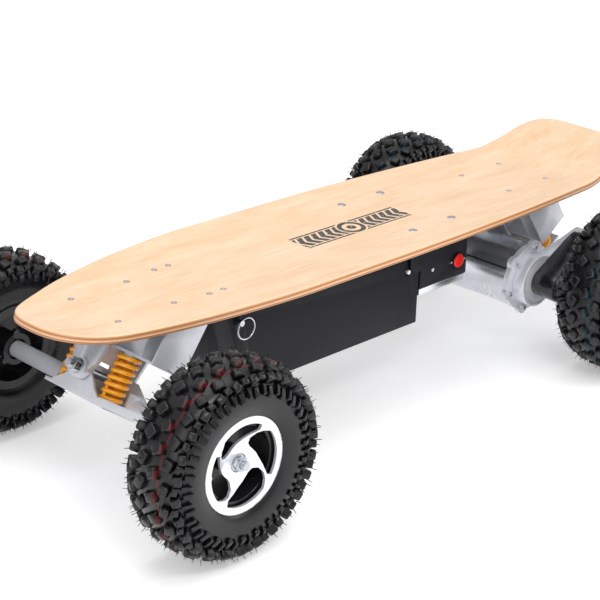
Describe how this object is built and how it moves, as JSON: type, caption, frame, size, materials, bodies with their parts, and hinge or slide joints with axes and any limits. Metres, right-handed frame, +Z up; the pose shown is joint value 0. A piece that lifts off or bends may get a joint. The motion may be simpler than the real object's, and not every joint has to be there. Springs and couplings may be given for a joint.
{
  "type": "electric skateboard",
  "caption": "Off-road electric skateboard: maple ply deck on spring trucks, knobby pneumatic tyres, under-slung battery and controller cases, and a chain driven rear wheel.",
  "frame": {"origin": "under the middle of the overall box, on the ground that the four tyres stand on", "axes": "+X towards the nose, +Y to the rider's left, the driven side, +Z up"},
  "size_m": [1.2404, 0.578, 0.3069],
  "materials": {
    "maple_ply": "clear lacquered maple plywood with a striped edge",
    "zinc_steel": "zinc plated steel",
    "black_steel": "black powder coated steel",
    "silver_paint": "silver powder coated cast alloy",
    "bush_polymer": "moulded bearing plastic",
    "amber_spring": "orange gold gloss enamel",
    "tyre_rubber": "black moulded rubber",
    "machined_rim": "machined bright face",
    "black_rim": "gloss black paint",
    "black_case": "satin black powder coat",
    "cell_wrap": "shrink wrapped cell blocks",
    "white_bolt": "white coated bolt head",
    "board_green": "solder masked circuit board",
    "bare_aluminium": "satin bare aluminium",
    "black_plastic": "black moulded plastic",
    "red_button": "red moulded plastic",
    "chain_steel": "oiled steel chain"
  },
  "bodies": {
    "root": {"deck": "maple_ply", "deck_screws": "zinc_steel", "deck_nuts": "zinc_steel", "bracket_screws": "zinc_steel", "carriage_bolts": "black_steel", "front_base": "silver_paint", "rear_base": "silver_paint", "front_kingpin": "zinc_steel", "rear_kingpin": "zinc_steel", "battery_case": "black_case", "battery_lid": "black_case", "battery_cells": "cell_wrap", "battery_bracket_left": "black_steel", "battery_bracket_right": "black_steel", "rear_bracket": "black_steel", "hook_bolts": "white_bolt", "controller_case": "black_case", "controller_board": "board_green", "heat_plate": "bare_aluminium", "button_bezel": "black_plastic"},
    "front_truck": {"front_hanger": "silver_paint", "front_axles": "zinc_steel", "front_pivot_bushes": "bush_polymer", "front_spring_left": "amber_spring", "front_spring_right": "amber_spring", "front_axle_nuts": "zinc_steel"},
    "rear_truck": {"rear_hanger": "silver_paint", "rear_axles": "zinc_steel", "rear_pivot_bushes": "bush_polymer", "rear_spring_left": "amber_spring", "rear_spring_right": "amber_spring", "rear_axle_nuts": "zinc_steel", "motor_can": "bare_aluminium", "motor_flange": "silver_paint", "motor_arm": "silver_paint", "chain_guard": "black_steel", "drive_chain": "chain_steel"},
    "motor_rotor": {"motor_shaft": "zinc_steel"},
    "wheel_front_left": {"tyre_front_left": "tyre_rubber", "rim_face_front_left": "machined_rim", "rim_barrel_front_left": "black_rim", "bearings_front_left": "zinc_steel"},
    "wheel_front_right": {"tyre_front_right": "tyre_rubber", "rim_face_front_right": "machined_rim", "rim_barrel_front_right": "black_rim", "bearings_front_right": "zinc_steel"},
    "wheel_rear_left": {"tyre_rear_left": "tyre_rubber", "rim_face_rear_left": "machined_rim", "rim_barrel_rear_left": "black_rim", "bearings_rear_left": "zinc_steel", "wheel_sprocket": "zinc_steel"},
    "wheel_rear_right": {"tyre_rear_right": "tyre_rubber", "rim_face_rear_right": "machined_rim", "rim_barrel_rear_right": "black_rim", "bearings_rear_right": "zinc_steel"},
    "power_button": {"power_button": "red_button"},
    "pull_pin_left": {"pull_pin_left": "zinc_steel"},
    "pull_pin_right": {"pull_pin_right": "zinc_steel"},
    "pull_ring_left": {"pull_ring_left": "zinc_steel"},
    "pull_ring_right": {"pull_ring_right": "zinc_steel"}
  },
  "joints": [
    {"name": "front_steer", "type": "hinge", "parent": "root", "child": "front_truck", "pos_m": [0.46878, 0, 0.15638], "axis": [0.8192, 0, 0.5736], "range_deg": [-10, 10], "stiffness_Nm_per_rad": 120, "deforming": ["front_spring_left", "front_spring_right"]},
    {"name": "rear_steer", "type": "hinge", "parent": "root", "child": "rear_truck", "pos_m": [-0.39728, 0, 0.15638], "axis": [-0.8192, 0, 0.5736], "range_deg": [-10, 10], "stiffness_Nm_per_rad": 120, "deforming": ["rear_spring_left", "rear_spring_right"]},
    {"name": "wheel_front_left_spin", "type": "hinge", "parent": "front_truck", "child": "wheel_front_left", "pos_m": [0.48025, 0.2415, 0.14], "axis": [0, 1, 0], "continuous": true},
    {"name": "wheel_front_right_spin", "type": "hinge", "parent": "front_truck", "child": "wheel_front_right", "pos_m": [0.48025, -0.2415, 0.14], "axis": [0, 1, 0], "continuous": true},
    {"name": "wheel_rear_left_spin", "type": "hinge", "parent": "rear_truck", "child": "wheel_rear_left", "pos_m": [-0.40875, 0.2415, 0.14], "axis": [0, 1, 0], "continuous": true},
    {"name": "wheel_rear_right_spin", "type": "hinge", "parent": "rear_truck", "child": "wheel_rear_right", "pos_m": [-0.40875, -0.2415, 0.14], "axis": [0, 1, 0], "continuous": true},
    {"name": "motor_spin", "type": "hinge", "parent": "rear_truck", "child": "motor_rotor", "pos_m": [-0.31635, 0.11, 0.14], "axis": [0, 1, 0], "continuous": true},
    {"name": "power_button_press", "type": "slide", "parent": "root", "child": "power_button", "axis": [0, -1, 0], "range_m": [0, 0.0025], "stiffness_N_per_m": 800},
    {"name": "pull_pin_left_slide", "type": "slide", "parent": "root", "child": "pull_pin_left", "axis": [0, 1, 0], "range_m": [0, 0.009], "stiffness_N_per_m": 600},
    {"name": "pull_ring_left_swing", "type": "hinge", "parent": "pull_pin_left", "child": "pull_ring_left", "pos_m": [0.31575, 0.0955, 0.231], "axis": [0.7193, 0, -0.6947], "range_deg": [-8, 90]},
    {"name": "pull_pin_right_slide", "type": "slide", "parent": "root", "child": "pull_pin_right", "axis": [0, -1, 0], "range_m": [0, 0.009], "stiffness_N_per_m": 600},
    {"name": "pull_ring_right_swing", "type": "hinge", "parent": "pull_pin_right", "child": "pull_ring_right", "pos_m": [0.31575, -0.0955, 0.231], "axis": [-0.7193, 0, 0.6947], "range_deg": [-8, 90]}
  ],
  "couplings": [
    {"joint": "motor_spin", "follows": "wheel_rear_left_spin", "ratio": 5}
  ]
}
